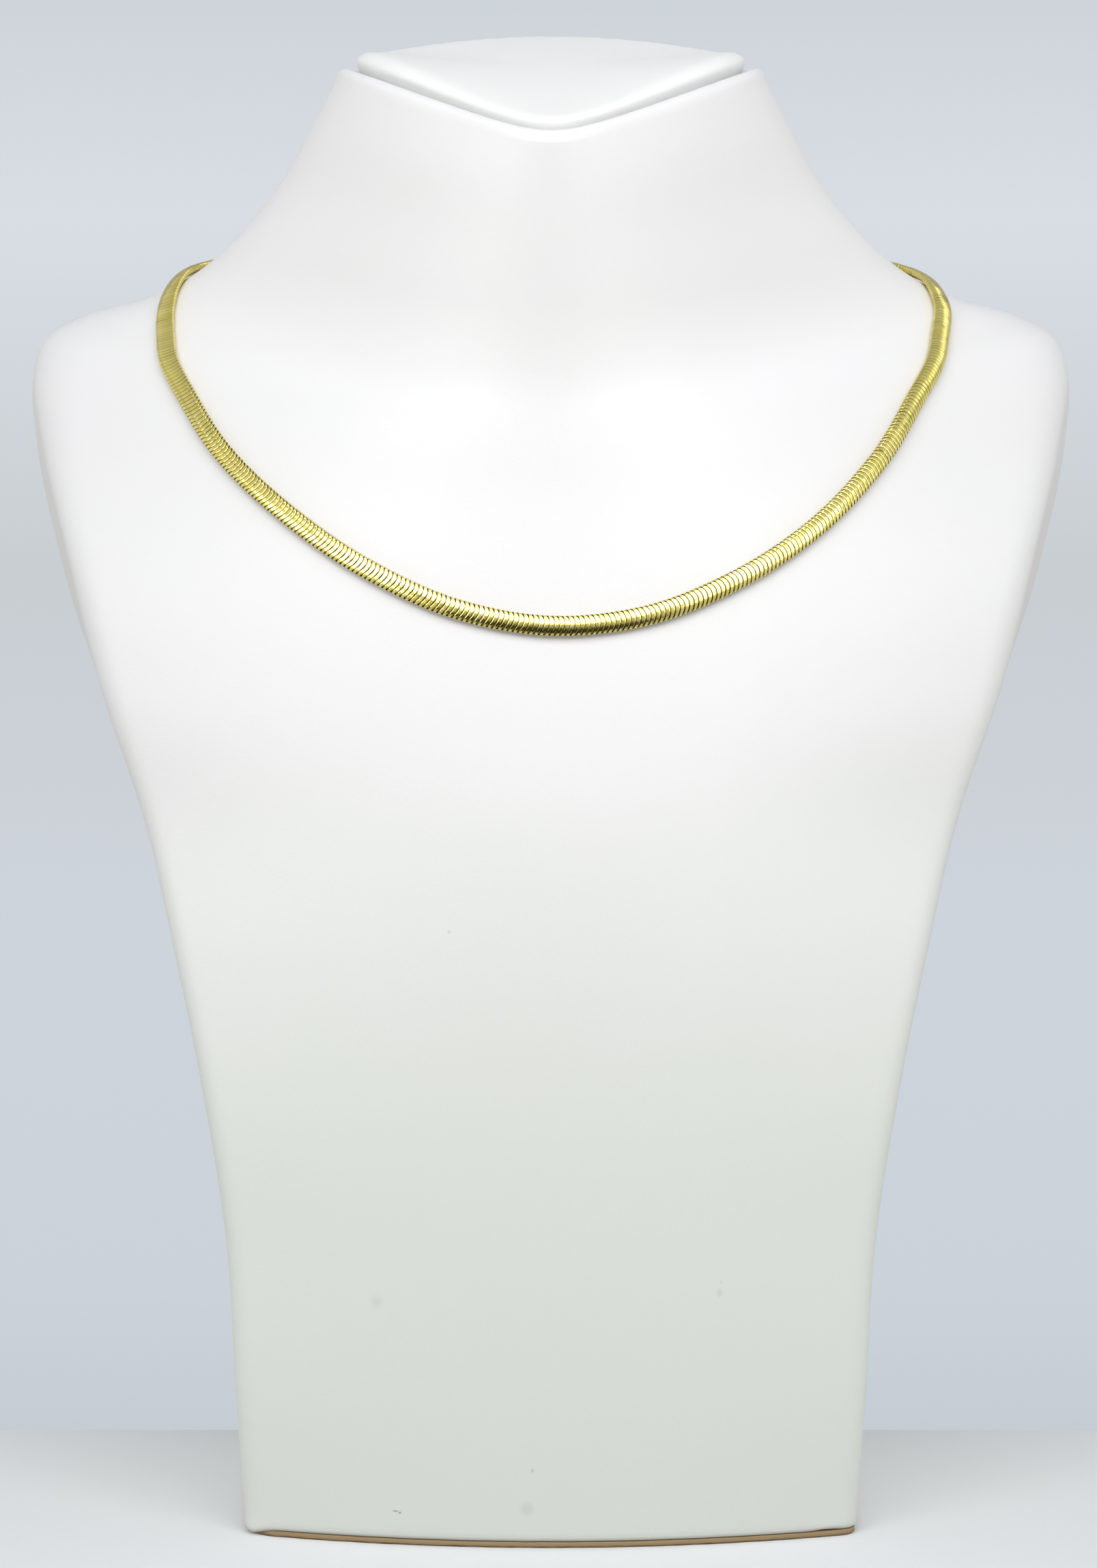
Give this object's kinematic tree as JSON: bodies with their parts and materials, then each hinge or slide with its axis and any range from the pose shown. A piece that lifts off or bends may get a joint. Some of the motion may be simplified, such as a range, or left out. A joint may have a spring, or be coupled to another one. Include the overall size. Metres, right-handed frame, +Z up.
{
  "type": "snake chain on neck bust",
  "caption": "Yellow gold snake chain necklace, closed behind the neck, on a plain white leatherette neck bust with a padded collar top and a flat board base.",
  "frame": {"origin": "on the floor, under the middle of the bust", "axes": "+Z up, the bust's front and the chain's drop face -Y, +X towards the right of the picture"},
  "size_m": [0.228, 0.1311, 0.3117],
  "materials": {
    "leatherette": "matte white leatherette with a fine grain",
    "board": "raw brown fibreboard",
    "gold": "polished yellow gold"
  },
  "bodies": {
    "root": {"bust_body": "leatherette", "neck_cap": "leatherette", "base_board": "board", "snake_chain": "gold", "clasp": "gold"}
  },
  "joints": []
}
